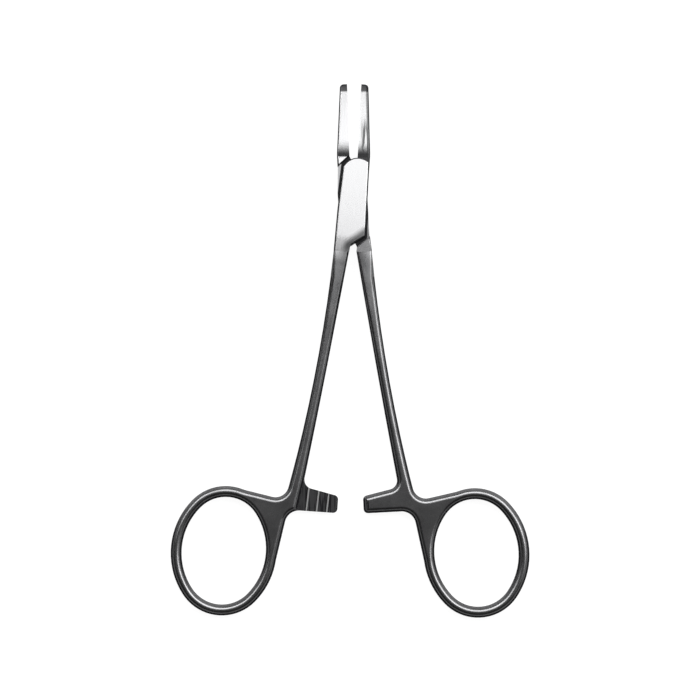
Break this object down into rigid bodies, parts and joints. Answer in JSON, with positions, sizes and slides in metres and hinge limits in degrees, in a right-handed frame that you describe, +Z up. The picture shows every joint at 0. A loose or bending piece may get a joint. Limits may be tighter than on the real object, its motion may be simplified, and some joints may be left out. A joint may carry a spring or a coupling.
{
  "type": "needle holder",
  "caption": "Small ring-handled needle holder with a box lock, short smooth jaws and a stepped ratchet between its shanks.",
  "frame": {"origin": "on the pivot axis, on the box's back face, which the instrument lies on", "axes": "+Y towards the jaws, +Z up out of the face with the box's plate, along the pivot axis, +X to the side of the box half's jaw"},
  "size_m": [0.0862, 0.1279, 0.0048],
  "materials": {
    "box_half": "satin, bright box and jaws, darker shanks and rings",
    "tongue_half": "satin, bright jaw, darker shank and ring",
    "pivot_pin": "satin, ground flush"
  },
  "bodies": {
    "box_half": {"box_half": "box_half", "pivot_pin": "pivot_pin"},
    "tongue_half": {"tongue_half": "tongue_half"}
  },
  "joints": [
    {"name": "box_lock", "type": "hinge", "parent": "box_half", "child": "tongue_half", "pos_m": [0, 0, 0.0024], "axis": [0, 0, 1], "range_deg": [-7, 45]}
  ]
}
